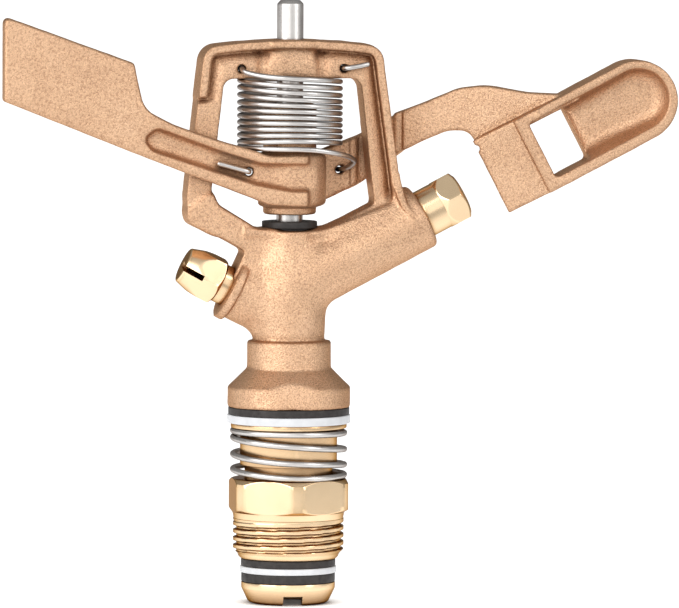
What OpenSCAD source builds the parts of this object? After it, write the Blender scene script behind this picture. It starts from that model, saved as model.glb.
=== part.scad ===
/* [Inlet] */
// Outside diameter of the male pipe thread
thread_d = 26.44; // [25.5:0.02:26.6]
// Length of the threaded part, from the hexagon down
thread_l = 9.5; // [8:0.1:10]
// Lowest point of the inlet nipple, below the hexagon
nipple_l = 11.25; // [11:0.01:11.28]
// Width of the inlet hexagon across its flats
inlet_af = 27; // [26:0.1:28]
// Height of the inlet hexagon
inlet_hex_h = 7.8; // [7:0.1:8.5]
// Diameter of the neck above the inlet hexagon
neck_d = 21; // [20:0.1:21.1]
// Height of the top of the neck
neck_top = 17; // [14:0.1:17.2]

/* [Bearing] */
// Outside diameter of the bearing tube
tube_d = 16.4; // [16:0.05:16.5]
// Inside diameter of the bearing tube, the water way
tube_bore_d = 13.8; // [12:0.1:14]
// Radial running clearance between the tube and the nipple
run_gap = 0.06; // [0.03:0.01:0.1]
// Diameter of the flange at the foot of the tube
flange_d = 22.4; // [21:0.1:23]
// Lowest point of the bearing tube
tube_foot_z = -22; // [-23:0.1:-21.5]
// Diameter of the spring collar's plate
collar_d = 27.7; // [27:0.1:28.5]
// Wire diameter of the bearing spring
bearing_wire_d = 1.5; // [1.2:0.1:1.6]
// Outside diameter of the bearing spring
bearing_spring_d = 28.2; // [27.4:0.1:28.6]

/* [Head] */
// Diameter of the body's round base
base_d = 29.2; // [28:0.1:30]
// Diameter of the body's collar above the base
waist_d = 20; // [19:0.1:21]
// Diameter of the body's stem
stem_d = 16.5; // [16.2:0.1:18]
// Diameter of the range barrel
barrel_d = 16; // [15:0.1:17]
// Upward angle of the range barrel
barrel_tilt = 27.5; // [25:0.5:29]
// Distance from the rotation axis to the mouth of the range barrel
barrel_l = 36.2; // [35:0.1:37]
// Diameter of the spreader boss
spreader_boss_d = 13.8; // [13:0.1:15]
// Upward angle of the spreader boss
spreader_tilt = 26.5; // [22:0.5:28]
// Distance from the rotation axis to the mouth of the spreader boss
spreader_l = 16.55; // [16:0.05:17]

/* [Yoke] */
// Height of the yoke's top edge
yoke_top = 112.3; // [111.5:0.1:113]
// Thickness of the yoke, front to back
yoke_t = 10; // [9:0.1:10]
// Half width of the yoke at its top corners
yoke_top_w = 21.2; // [20.5:0.1:22]
// Half width of the yoke at its shoulders
yoke_low_w = 25.4; // [25:0.1:26]
// Depth of the recess inside the yoke's rim
rim_step = 1.1; // [0.5:0.1:1.5]
// Diameter of the fulcrum pin
pin_d = 6.3; // [6:0.05:6.4]
// Height of the top of the fulcrum pin
pin_top = 121.8; // [118:0.1:124]

/* [Arm] */
// Diameter of the arm's hub
hub_d = 14.8; // [14:0.1:15]
// Thickness of the arm's blade
blade_t = 4.5; // [4:0.1:4.6]
// Distance from the rotation axis to the inner face of the blade
blade_y = 5.3; // [5.2:0.05:5.5]
// Thickness of the arm on the spoon's side
spoon_arm_t = 4.2; // [3.8:0.1:4.6]
// Angle by which the spoon's side is bent back over the jet
crease = 13; // [11:0.5:14]
// Width of the spoon across its bowl
spoon_w = 19.6; // [18:0.1:20]
// Outside diameter of the arm spring
arm_spring_d = 25; // [23:0.1:26]
// Wire diameter of the arm spring
arm_wire_d = 1.05; // [0.8:0.05:1.2]
// Number of turns of the arm spring
arm_turns = 9.75; // [7.75:1:10.75]

/* [Hidden] */

fine = 96;
bore = 64;
slip = 0.02;            // clearance of a pressed or screwed fit
thread_clear = 0.1;     // clearance of a washer's hole round the tube
body_z = 24.9;          // seat of the body on its rubber washer
ptfe_z = 21.1;          // seat of the upper PTFE washer on the collar
rubber_z = 23.1;        // seat of the upper rubber washer
collar_t = 1.15;
skirt_z = 11;
seat_z = 67;            // top of the seat under the arm
arm_z = 71.5;           // underside of the arm's hub
arm_top = 97;           // top of the arm's hub
bar_z = 102.9;          // underside of the yoke's top bar
barrel_z = 53.7;        // where the range barrel crosses the rotation axis
spreader_z = 46.2;      // where the spreader boss crosses the rotation axis
bushing_d = pin_d + 2.1;
hub_bore_d = bushing_d + 2 * slip;
bushing_bore_d = pin_d + 0.1;
anchor_d = 1.8;         // holes that the arm spring hooks into
anchor_z = 105.6;
anchor_x = 12.3;
arm_hole_z = 81.4;
arm_hole_x = [-11, 13];  // left and right

// Puts a bar or hole on the range barrel's axis, at a distance from the rotation axis
module on_barrel(from) {
    translate([0, 0, barrel_z]) rotate([0, 90 - barrel_tilt, 0]) translate([0, 0, from]) children();
}

// The same on the spreader's axis, which leaves to the other side
module on_spreader(from) {
    translate([0, 0, spreader_z]) rotate([0, spreader_tilt - 90, 0]) translate([0, 0, from]) children();
}

// A flat plate in the XZ plane, from y = front to y = back
module plate(outline, front, back) {
    translate([0, back, 0]) rotate([90, 0, 0]) linear_extrude(height = back - front) polygon(outline);
}

module ring(d, hole, z0, z1) {
    translate([0, 0, z0]) difference() {
        cylinder(d = d, h = z1 - z0, $fn = fine);
        translate([0, 0, -1]) cylinder(d = hole, h = z1 - z0 + 2, $fn = bore);
    }
}

module hex_bar(af, h) {
    cylinder(d = af / cos(30), h = h, $fn = 6);
}

// Points of a wire's section in the plane across the direction (dx, dy, dz)
function unit(v) = v / norm(v);
function across(t) =
    let (s = unit(cross(t, abs(t[2]) > 0.9 ? [1, 0, 0] : [0, 0, 1])))
    [s, unit(cross(s, t))];
function section(p, t, r, n) =
    let (f = across(t))
    [for (k = [0:n - 1]) p + r * (f[0] * cos(360 * k / n) + f[1] * sin(360 * k / n))];

// A round wire swept along a path of points
module wire(path, d, sides) {
    n = len(path);
    tangents = [for (i = [0:n - 1]) unit(path[min(i + 1, n - 1)] - path[max(i - 1, 0)])];
    points = [for (i = [0:n - 1]) each section(path[i], tangents[i], d / 2, sides)];
    walls = [
        for (i = [0:n - 2], k = [0:sides - 1])
            let (a = i * sides, b = a + sides, next = (k + 1) % sides)
            [a + k, a + next, b + next, b + k]
    ];
    first = [for (k = [sides - 1:-1:0]) k];
    last = [for (k = [0:sides - 1]) (n - 1) * sides + k];
    polyhedron(points = points, faces = concat([first], walls, [last]), convexity = 10);
}

// ---------- bearing nipple: the fixed inlet ----------

module bearing_nipple() {
    chamfer = 0.5;
    hex_turn = 29.3;        // a corner faces the front
    hex_corner = inlet_af / cos(30) / 2;
    face_r = hex_corner - 2 * chamfer;
    color("goldenrod") difference() {
        union() {
            rotate_extrude($fn = fine) polygon([
                [0, -nipple_l], [thread_d / 2 - 1.6, -nipple_l], [thread_d / 2 - 1.3, -thread_l - 1.2],
                [thread_d / 2, -thread_l], [thread_d / 2, 0.01], [0, 0.01]
            ]);
            intersection() {
                rotate([0, 0, hex_turn]) hex_bar(inlet_af, inlet_hex_h);
                rotate_extrude($fn = fine) polygon([
                    [0, 0], [face_r, 0], [hex_corner, chamfer],
                    [hex_corner, inlet_hex_h - chamfer], [face_r, inlet_hex_h], [0, inlet_hex_h]
                ]);
            }
            cylinder(d = neck_d, h = neck_top, $fn = fine);
        }
        translate([0, 0, -nipple_l - 1])
            cylinder(d = tube_d + 2 * run_gap, h = nipple_l + neck_top + 2, $fn = bore);
    }
}

// ---------- bearing spring ----------

module bearing_spring() {
    low = inlet_hex_h + bearing_wire_d / 2 + 0.03;
    high = body_z - 3.8 - collar_t - bearing_wire_d / 2 - 0.03;
    radius = (bearing_spring_d - bearing_wire_d) / 2;
    turns = 3.6;
    closed = 0.7;           // turns that lie flat at each end
    steps = 24;
    lift = bearing_wire_d * 1.02 * closed;
    rise = function(t) t < closed ? lift * t / closed
        : t > turns - closed ? high - low - lift * (turns - t) / closed
        : lift + (high - low - 2 * lift) * (t - closed) / (turns - 2 * closed);
    color("silver") wire([
        for (i = [0:turns * steps])
            let (a = 130 - 360 * i / steps)
            [radius * cos(a), radius * sin(a), low + rise(i / steps)]
    ], bearing_wire_d, 8);
}

// ---------- collar and washers above the nipple ----------

module spring_collar() {
    top = ptfe_z;
    color("gold") difference() {
        union() {
            translate([0, 0, top - collar_t]) cylinder(d = collar_d, h = collar_t, $fn = fine);
            translate([0, 0, skirt_z]) cylinder(d = neck_d + 2.2, h = top - skirt_z, $fn = fine);
        }
        translate([0, 0, skirt_z - 1])
            cylinder(d = neck_d + 0.2, h = top - collar_t - skirt_z + 1, $fn = bore);
        cylinder(d = tube_d + 2 * thread_clear, h = top + 1, $fn = bore);
    }
}

module upper_ptfe_washer() {
    color("white") ring(base_d + 0.2, tube_d + 2 * thread_clear, ptfe_z, rubber_z);
}

module upper_rubber_washer() {
    color("black") ring(base_d - 0.3, tube_d + 2 * thread_clear, rubber_z, body_z);
}

// ---------- bearing tube and the washers on its flange ----------

module bearing_tube() {
    flange_top = -16.85;
    slot_w = 4.2;
    slot_h = 2.2;
    tube_top = 36;
    color("goldenrod") difference() {
        rotate_extrude($fn = fine) polygon([
            [tube_bore_d / 2, tube_foot_z], [flange_d / 2 - 1.6, tube_foot_z],
            [flange_d / 2 - 1.2, tube_foot_z + 0.5], [flange_d / 2, flange_top - 1.35],
            [flange_d / 2, flange_top], [tube_d / 2, flange_top],
            [tube_d / 2, tube_top], [tube_bore_d / 2, tube_top]
        ]);
        translate([-slot_w / 2, -flange_d, tube_foot_z - 1]) cube([slot_w, flange_d, slot_h + 1]);
    }
}

module lower_rubber_washer() {
    color("black") ring(flange_d + 0.16, tube_d + 2 * thread_clear, -13.1, -11.3);
}

module lower_ptfe_washer() {
    color("white") ring(flange_d + 0.68, tube_d + 2 * thread_clear, -14.6, -13.1);
}

module flange_rubber_washer() {
    color("black") ring(flange_d, tube_d + 2 * thread_clear, -16.8, -14.6);
}

// ---------- body casting, with the yoke cast on ----------

function yoke_x(z, low, high) = low + (high - low) * (z - 75) / 33;

module yoke() {
    out_low = yoke_low_w;
    out_high = yoke_top_w;
    in_low = yoke_low_w - 6.2;
    in_high = yoke_top_w - 5;
    rim = 2;
    difference() {
        plate([
            [-out_low, 71.2], [-out_low + 1, 69.4], [-20, 66.8], [-11.7, 61.8], [-9, 58.5], [6, 58.5],
            [20, 62], [28, 70.6], [26.4, 73.6], [out_low + 0.1, 78], [out_high, 107.6],
            [out_high - 0.9, 110], [out_high - 3.2, 111.6], [13, 112], [0, yoke_top],
            [-13, 112], [-out_high + 3.2, 111.6], [-out_high + 0.9, 110], [-out_high, 107.6],
            [-out_low, 75]
        ], -yoke_t / 2, yoke_t / 2);
        // the window that the arm swings in
        plate([
            [-in_low + 0.3, 74.6], [-17.9, 73.1], [-8.2, 67.4], [-6.6, 66.9], [6.6, 66.9], [8.6, 66.9],
            [19.2, 72.6], [in_low + 0.3, 73.6], [in_low, 76],
            [yoke_x(101, in_low, in_high), 101], [15.4, 102.4], [13.6, bar_z],
            [-13.6, bar_z], [-15.4, 102.4], [-yoke_x(101, in_low, in_high), 101], [-in_low, 76]
        ], -yoke_t, yoke_t);
        // recesses that leave a raised rim on the bar and the right leg
        for (side = [-1, 1])
            plate([
                [-out_high + rim + 0.4, 98.7], [-out_high + rim - 0.1, 108.2],
                [-17.4, 109.7], [0, yoke_top - rim],
                [17.4, 109.7], [out_high - rim + 0.1, 108.2], [out_low - rim, 78], [in_low - 1, 78],
                [yoke_x(101, in_low, in_high) - 1, 101], [13.6, bar_z - 1], [-13.6, bar_z - 1],
                [-yoke_x(101, in_low, in_high) + 1, 101], [-in_high - 0.5 + 1, 98.7]
            ], side > 0 ? yoke_t / 2 - rim_step : -yoke_t, side > 0 ? yoke_t : -yoke_t / 2 + rim_step);
    }
    // boss round the fulcrum pin, under the bar
    translate([0, 0, bar_z]) cylinder(d = 13.2, h = yoke_top - 1.2 - bar_z, $fn = fine);
}

module body_casting() {
    pillar_d = 13.2;
    pin_foot = 62.2;
    cavity_d = 12.8;
    nozzle_thread_d = 10.9;
    color("peru") difference() {
        union() {
            rotate_extrude($fn = fine) polygon([
                [0, body_z], [base_d / 2, body_z], [base_d / 2, 29.4], [waist_d / 2, 34],
                [waist_d / 2, 40.2], [stem_d / 2, 41.8], [stem_d / 2, 58], [pillar_d / 2, 61],
                [pillar_d / 2, seat_z], [0, seat_z]
            ]);
            on_barrel(0) cylinder(d = barrel_d, h = barrel_l, $fn = fine);
            on_spreader(0) cylinder(d = spreader_boss_d, h = spreader_l - 1, $fn = fine);
            on_spreader(spreader_l - 2.1) cylinder(d = 15.6, h = 2.1, $fn = fine);
            yoke();
        }
        translate([0, 0, body_z - 1]) cylinder(d = tube_d + 2 * slip, h = 36 - body_z + 1, $fn = bore);
        translate([0, 0, 35]) cylinder(d = cavity_d, h = 21, $fn = bore);
        on_barrel(-1) cylinder(d = 9.4, h = 16, $fn = bore);
        on_barrel(14) cylinder(d = nozzle_thread_d, h = barrel_l, $fn = bore);
        on_spreader(0) cylinder(d = 8.4, h = spreader_l + 1, $fn = bore);
        translate([0, 0, pin_foot]) cylinder(d = pin_d + 2 * slip, h = 60, $fn = bore);
        for (x = [-anchor_x, anchor_x])
            translate([x, yoke_t, anchor_z]) rotate([90, 0, 0])
                cylinder(d = anchor_d, h = 2 * yoke_t, $fn = 32);
    }
}

// ---------- range nozzle, its straightener, and the spreader nozzle ----------

module stream_straightener() {
    vane_t = 0.7;
    shell_d = 10.8;
    length = 12;
    color("gainsboro") on_barrel(14.2) {
        difference() {
            cylinder(d = shell_d, h = length, $fn = bore);
            translate([0, 0, -1]) cylinder(d = shell_d - 1.4, h = length + 2, $fn = bore);
        }
        for (turn = [0, 90])
            rotate([0, 0, turn]) translate([-shell_d / 2 + 0.3, -vane_t / 2, 0])
                cube([shell_d - 0.6, vane_t, length]);
    }
}

module range_nozzle() {
    thread_from = 27;
    hex_l = 5;
    shank_l = 5.2;
    af = 11.6;
    tip = barrel_l + shank_l + hex_l;
    color("gold") difference() {
        union() {
            on_barrel(thread_from) cylinder(d = 10.86, h = barrel_l - thread_from, $fn = fine);
            on_barrel(barrel_l) cylinder(d = 11.5, h = shank_l, $fn = fine);
            intersection() {
                on_barrel(barrel_l + shank_l) hex_bar(af, hex_l);
                on_barrel(0) rotate_extrude($fn = fine) polygon([
                    [0, barrel_l], [af / 2 + 1, barrel_l], [af / 2 + 1, tip - 1],
                    [af / 2 - 0.4, tip], [0, tip]
                ]);
            }
        }
        on_barrel(0) rotate_extrude($fn = bore) polygon([
            [0, thread_from - 1], [4.5, thread_from - 1], [4.2, thread_from + 2],
            [2.2, tip - 3], [2.2, tip + 1], [0, tip + 1]
        ]);
    }
}

module spreader_nozzle() {
    af = 10.3;
    thread_from = 9;
    hex_from = spreader_l + 2.9;
    cone_from = 25;
    tip = 28.6;
    slot_w = 1.1;
    slot_l = 5.3;
    bore_d = 5;
    color("gold") difference() {
        union() {
            on_spreader(thread_from) cylinder(d = 8.36, h = spreader_l - thread_from, $fn = fine);
            on_spreader(spreader_l) cylinder(d = 9.4, h = hex_from - spreader_l, $fn = fine);
            intersection() {
                on_spreader(hex_from) rotate([0, 0, 30]) hex_bar(af, tip - hex_from);
                on_spreader(0) rotate_extrude($fn = fine) polygon([
                    [0, hex_from], [5.2, hex_from], [5.8, hex_from + 0.7], [5.8, cone_from],
                    [4.25, tip], [0, tip]
                ]);
            }
        }
        on_spreader(thread_from - 1) cylinder(d = bore_d, h = tip - 1.5 - thread_from + 1, $fn = bore);
        on_spreader(tip - slot_l) translate([-slot_w / 2, -10, 0]) cube([slot_w, 10, slot_l + 1]);
    }
}

// ---------- fulcrum pin and the washers under the arm ----------

module fulcrum_pin() {
    foot = 62.3;
    chamfer = 0.9;
    color("silver") rotate_extrude($fn = fine) polygon([
        [0, foot], [pin_d / 2, foot], [pin_d / 2, pin_top - chamfer],
        [pin_d / 2 - chamfer, pin_top], [0, pin_top]
    ]);
}

module arm_seat_washer() {
    color("dimgray") ring(11.4, pin_d + 0.1, seat_z, 67.6);
}

module arm_thrust_washer() {
    color("black") ring(13.2, pin_d + 0.1, 67.6, 69.2);
}

// ---------- arm casting: blade, hub and spoon ----------

module blade() {
    pocket_t = 2.6;
    front = -blade_y - blade_t;
    difference() {
        plate([
            [-70, 98], [-40.5, 86.5], [-27.8, 81.6], [-20, 78.7], [-13.3, 76.2],
            [-7, 73.2], [0, 73], [5, 73.6], [5, 85.5], [-7.1, 85.5],
            [-13.3, 87.1], [-19.2, 89.1], [-27.4, 91.9], [-34.1, 95.2], [-36.4, 97.6],
            [-37.6, 101], [-38, 105.9], [-39, 106.9], [-70, 118.4]
        ], front, -blade_y);
        plate([
            [-36.2, 89.6], [-35, 87.6], [-28, 84.6], [-19.3, 81.2], [-9.4, 77.9], [-1, 76.5], [6, 76.5],
            [6, 83.5], [-8.2, 83.5], [-19.3, 87], [-32.9, 91.7], [-35.4, 91.4]
        ], front - 1, front + pocket_t);
    }
}

module spoon_arm() {
    back = 9.5;
    bend_x = 27;
    top_at_bend = 94.2;
    low_at_bend = 84.6;
    plate([
        [2, 73.4], [9, 73.4], [18.5, 78], [bend_x + 0.3, low_at_bend], [bend_x + 0.3, top_at_bend],
        [17.6, 89], [9, 86], [2, 85.4]
    ], back - spoon_arm_t, back);
    // beyond the crease the plate turns towards the jet
    translate([bend_x, back - spoon_arm_t / 2, 0]) rotate([0, 0, -crease]) plate([
        [-0.3, low_at_bend], [6, 87.3], [11, 89.4], [15, 90.2], [18, 88.9], [19.6, 87],
        [37.7, 96.2], [44, 99.4], [41.5, 100.2], [39, 99.2], [31, 99.8], [21, 100.8],
        [15, 100], [11, 98.5], [6, 96.5], [-0.3, top_at_bend]
    ], -spoon_arm_t / 2, spoon_arm_t / 2);
}

// The spoon lies along the jet: a stadium with a window, a bowl and a sharp leading edge
module spoon() {
    edge = 55;              // leading edge's distance from the rotation axis, along the jet
    round_at = 94.4;        // centre of the round end
    mid = 0.4;              // middle of the spoon above the jet's axis
    bowl_mid = 0.25;        // middle of the bowl and the window above that
    front = -4.6;
    back = 2.9;
    window = [68.3, 78.2];
    window_w = 14.6;
    bowl_w = 14.8;
    wedge = 10.4;
    translate([0, 0, barrel_z]) rotate([0, -barrel_tilt, 0]) translate([0, 0, mid]) difference() {
        union() {
            plate([
                [edge + 0.4, -spoon_w / 2], [round_at, -spoon_w / 2],
                [round_at, spoon_w / 2], [edge + 0.4, spoon_w / 2]
            ], front, back);
            translate([round_at, back, 0]) rotate([90, 0, 0])
                cylinder(d = spoon_w, h = back - front, $fn = fine);
        }
        // the wedge thins from both sides towards the leading edge
        translate([0, 0, -spoon_w]) linear_extrude(height = 2 * spoon_w) polygon([
            [edge - 1, front - 1], [edge + wedge, front - 1], [edge + wedge, front + 0.6],
            [edge + 0.1, -0.9], [edge - 1, -0.9]
        ]);
        translate([0, 0, -spoon_w]) linear_extrude(height = 2 * spoon_w) polygon([
            [edge - 1, back + 1], [edge - 1, -0.3], [edge + 0.1, -0.3], [edge + wedge, back + 1]
        ]);
        translate([0, 0, bowl_mid - window_w / 2]) linear_extrude(height = window_w) polygon([
            [window[0], front - 1], [window[1], front - 1], [window[1], back + 1], [window[0], back + 1]
        ]);
        // the bowl's floor rises to the round end
        intersection() {
            translate([0, 0, -spoon_w]) linear_extrude(height = 2 * spoon_w) polygon([
                [window[1] - 0.1, front - 1], [round_at + 7, front - 1], [round_at + 7, front + 0.4],
                [round_at - 2, back - 3], [window[1] - 0.1, back - 1.6]
            ]);
            union() {
                translate([window[1] - 0.1, -20, bowl_mid - bowl_w / 2])
                    cube([round_at - window[1] + 0.1, 40, bowl_w]);
                translate([round_at, 20, bowl_mid]) rotate([90, 0, 0])
                    cylinder(d = bowl_w, h = 40, $fn = fine);
            }
        }
    }
}

module arm_casting() {
    color("peru") difference() {
        union() {
            translate([0, 0, arm_z]) cylinder(d = 12.4, h = arm_top - arm_z, $fn = fine);
            translate([0, 0, 73]) cylinder(d = hub_d, h = 12.5, $fn = fine);
            blade();
            // webs that carry the blade and the spoon's side on the hub
            plate([[-5.5, 73.6], [0, 73], [0, 85.5], [-5.5, 85.5]], -blade_y - 1.5, 0);
            plate([[0, 73.4], [6, 73.4], [6, 85.4], [0, 85.4]], 0, 7);
            spoon_arm();
            spoon();
        }
        translate([0, 0, arm_z - 1]) cylinder(d = hub_bore_d, h = arm_top - arm_z + 2, $fn = bore);
        for (x = arm_hole_x)
            translate([x, 20, arm_hole_z]) rotate([90, 0, 0]) cylinder(d = anchor_d, h = 40, $fn = 32);
    }
}

module arm_bushing(z0, z1) {
    translate([0, 0, z0]) difference() {
        cylinder(d = bushing_d, h = z1 - z0, $fn = fine);
        translate([0, 0, -1]) cylinder(d = bushing_bore_d, h = z1 - z0 + 2, $fn = bore);
    }
}

module lower_arm_bushing() {
    color("silver") arm_bushing(arm_z + 0.1, 82);
}

module upper_arm_bushing() {
    color("silver") arm_bushing(86, arm_top);
}

// ---------- arm spring ----------

module arm_spring() {
    radius = (arm_spring_d - arm_wire_d) / 2;
    low = 86.9;
    high = 101.8;
    steps = 20;
    coil = [
        for (i = [0:arm_turns * steps])
            let (a = 250 - 360 * i / steps)
            [radius * cos(a), radius * sin(a), high - (high - low) * i / (arm_turns * steps)]
    ];
    // the upper tail passes through the bar and back out beside the boss
    front = -yoke_t / 2 - 1;
    behind_boss = 7.4;
    upper = [
        [18.8, front, 106.8], [14.2, front, 106], [anchor_x, front + 0.6, anchor_z],
        [anchor_x, 0, anchor_z],
        [anchor_x, -front - 0.6, anchor_z], [10.6, -front + 0.4, anchor_z], [5, behind_boss, anchor_z],
        [-5, behind_boss, anchor_z], [-10.6, -front + 0.4, anchor_z], [-anchor_x, -front - 0.6, anchor_z],
        [-anchor_x, 0, anchor_z],
        [-anchor_x, front + 0.6, anchor_z], [-11.6, front - 0.6, 104.6], [-9.6, -7.8, 103],
        [-7.2, -9.9, 102.2]
    ];
    // the lower tail crosses the front of the arm and hooks into its web
    lower = [
        [6.4, -11.3, 85.9], [10.8, -11, 84.8], [14.6, -10.7, 83.4], [14.3, -10.5, 82], [13, -10.4, 81.6]
    ];
    color("gainsboro") wire(concat(upper, coil, lower), arm_wire_d, 6);
}

bearing_nipple();
bearing_spring();
spring_collar();
upper_ptfe_washer();
upper_rubber_washer();
bearing_tube();
lower_rubber_washer();
lower_ptfe_washer();
flange_rubber_washer();
body_casting();
stream_straightener();
range_nozzle();
spreader_nozzle();
fulcrum_pin();
arm_seat_washer();
arm_thrust_washer();
arm_casting();
lower_arm_bushing();
upper_arm_bushing();
arm_spring();
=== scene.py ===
import math

import bmesh
import bpy
import numpy as np
import openvdb
from mathutils import Matrix, Vector


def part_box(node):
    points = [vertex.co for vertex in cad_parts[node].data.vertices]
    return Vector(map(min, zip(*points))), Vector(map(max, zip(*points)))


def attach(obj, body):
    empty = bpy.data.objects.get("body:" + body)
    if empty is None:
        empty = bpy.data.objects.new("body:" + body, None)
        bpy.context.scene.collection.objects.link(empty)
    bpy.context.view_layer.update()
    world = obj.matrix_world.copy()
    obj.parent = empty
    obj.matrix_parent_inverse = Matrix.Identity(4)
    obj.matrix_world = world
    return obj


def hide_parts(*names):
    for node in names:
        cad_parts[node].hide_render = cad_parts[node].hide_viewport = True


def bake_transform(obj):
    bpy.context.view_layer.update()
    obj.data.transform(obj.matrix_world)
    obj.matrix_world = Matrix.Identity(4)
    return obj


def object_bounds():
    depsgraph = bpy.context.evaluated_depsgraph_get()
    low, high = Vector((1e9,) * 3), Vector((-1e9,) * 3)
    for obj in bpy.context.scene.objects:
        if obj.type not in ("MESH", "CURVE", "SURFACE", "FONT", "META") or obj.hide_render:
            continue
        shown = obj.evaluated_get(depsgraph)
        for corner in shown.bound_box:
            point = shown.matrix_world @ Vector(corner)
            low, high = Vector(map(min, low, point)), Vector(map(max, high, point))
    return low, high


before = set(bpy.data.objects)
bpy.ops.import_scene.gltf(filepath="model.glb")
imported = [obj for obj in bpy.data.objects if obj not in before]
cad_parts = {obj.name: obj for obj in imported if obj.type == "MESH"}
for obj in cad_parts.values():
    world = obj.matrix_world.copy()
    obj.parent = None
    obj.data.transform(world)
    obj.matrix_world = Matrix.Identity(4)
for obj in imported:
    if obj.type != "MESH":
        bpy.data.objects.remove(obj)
cad_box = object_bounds()

MM = 0.001                      # lengths below are in millimetres


def low(node, axis=2):
    """Lowest coordinate of a CAD node, in millimetres."""
    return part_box(node)[0][axis] / MM


def high(node, axis=2):
    """Highest coordinate of a CAD node, in millimetres."""
    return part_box(node)[1][axis] / MM


# ------------ sizes and places

NIPPLE_FOOT = low("bearing_nipple")
NECK_TOP = high("bearing_nipple")
BODY_Z = low("body_casting")
YOKE_TOP = high("body_casting")
SEAT_Z = low("arm_seat_washer")
ARM_Z = low("arm_casting")
PIN_R = (high("fulcrum_pin", 0) - low("fulcrum_pin", 0)) / 2
PIN_TOP = high("fulcrum_pin")
TUBE_R = 8.2
TUBE_BORE_R = 6.9
COLLAR_T = 1.15                 # thickness of the spring collar's rim

BARREL_TILT = math.radians(27.5)
BARREL_Z = 53.7                 # height at which the range barrel's axis crosses the rotation axis
BARREL_R = 8.0
BARREL_L = 36.2
SPREADER_TILT = math.radians(26.5)
SPREADER_Z = 46.2
SPREADER_L = 16.55

YOKE_LOW_W = 25.4               # outer half width at the shoulders
YOKE_TOP_W = 21.2               # outer half width at the top
YOKE_Y = 5.0                    # half thickness
WEB_Y = 4.0                     # half thickness inside the raised rim
BAR_Z = 102.9                   # underside of the top bar
ANCHOR_X, ANCHOR_Z = 12.3, 105.6    # the spring's holes in the top bar
ARM_HOLES = ((-10.9, 81.3), (13.1, 81.0))    # left and right: x, z
SPRING_HOLE_R = 0.95            # of the holes that the arm spring's ends go through

BLADE_BACK = -5.3
BLADE_FRONT = -9.8
DRUM_LOW, DRUM_HIGH = 73.0, 85.4    # ends of the drum round the arm's hub
SPOON_ARM_FRONT = 5.35
SPOON_ARM_BACK = 9.5
CREASE_X = 27.0                 # where the spoon's arm is bent
CREASE = math.radians(13.0)
ARM_STEP, BODY_STEP = 0.36, 0.38    # grid steps of the two castings


# ------------ fields: signed distances on a grid

class Grid:
    """A box of samples, in millimetres. x, y and z broadcast against each other."""

    def __init__(self, low_corner, high_corner, step):
        self.low, self.step = low_corner, step
        axes = [
            np.arange(int(math.ceil((h - l) / step)) + 1, dtype=np.float32) * step + l
            for l, h in zip(low_corner, high_corner)
        ]
        self.x = axes[0][:, None, None]
        self.y = axes[1][None, :, None]
        self.z = axes[2][None, None, :]
        self.shape = tuple(len(a) for a in axes)


def outline(u, v, points):
    """Signed distance from (u, v) to a closed outline, negative inside."""
    nearest, inside = None, None
    for (ax, ay), (bx, by) in zip(points, points[1:] + points[:1]):
        ex, ey = bx - ax, by - ay
        t = np.clip(((u - ax) * ex + (v - ay) * ey) / (ex * ex + ey * ey), 0, 1)
        d = (u - ax - t * ex) ** 2 + (v - ay - t * ey) ** 2
        crossed = ((v < ay) != (v < by)) & ((u - ax) < ex * (v - ay) / (ey if ey else 1e-9))
        nearest = d if nearest is None else np.minimum(nearest, d)
        inside = crossed if inside is None else inside ^ crossed
    return np.where(inside, -1, 1).astype(np.float32) * np.sqrt(nearest)


def rounded(corners, steps=6):
    """The outline through corners (u, v, radius), each turned into an arc."""
    points = []
    for i, (u, v, radius) in enumerate(corners):
        here = Vector((u, v))
        before = Vector(corners[i - 1][:2]) - here
        after = Vector(corners[(i + 1) % len(corners)][:2]) - here
        if radius <= 0:
            points.append((u, v))
            continue
        a, b = before.normalized(), after.normalized()
        half = a.angle(b) / 2
        reach = min(radius / math.tan(half), 0.49 * before.length, 0.49 * after.length)
        radius = reach * math.tan(half)
        centre = here + (a + b).normalized() * (radius / math.sin(half))
        start, end = here + a * reach - centre, here + b * reach - centre
        turn = start.angle_signed(end)
        for k in range(steps + 1):
            c, s = math.cos(-turn * k / steps), math.sin(-turn * k / steps)
            points.append((centre.x + c * start.x - s * start.y, centre.y + s * start.x + c * start.y))
    return points


def thick(flat, across, front, back, edge=0.5):
    """A flat field given thickness from front to back, with rounded edges."""
    a = flat + edge
    b = np.abs(across - (front + back) / 2) - (back - front) / 2 + edge
    return np.minimum(np.maximum(a, b), 0) + np.hypot(np.maximum(a, 0), np.maximum(b, 0)) - edge


def join(a, b, k):
    """Union with a fillet of about k."""
    h = np.maximum(k - np.abs(a - b), 0) / k
    return np.minimum(a, b) - h * h * k / 4


def cut(a, b, k):
    """a without b, with an edge rounded over about k."""
    return -join(-a, b, k)


def meet(a, b, k):
    """What a and b share, with an edge rounded over about k."""
    return -join(-a, -b, k)


def on_axis(g, height, tilt, side=1):
    """Distance along a tilted axis from the rotation axis, and distance from it."""
    dx, dz = side * math.cos(tilt), math.sin(tilt)
    along = g.x * dx + (g.z - height) * dz
    across = -g.x * dz + (g.z - height) * dx
    return along, across


def rod(g, height, tilt, side, start, end, radius, edge=0.3):
    """A round bar on a tilted axis."""
    along, across = on_axis(g, height, tilt, side)
    return thick(np.hypot(across, g.y) - radius, along, start, end, edge)


def upright(g, start, end, radius, edge=0.3):
    """A round bar on the rotation axis."""
    return thick(np.hypot(g.x, g.y) - radius, g.z, start, end, edge)


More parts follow.
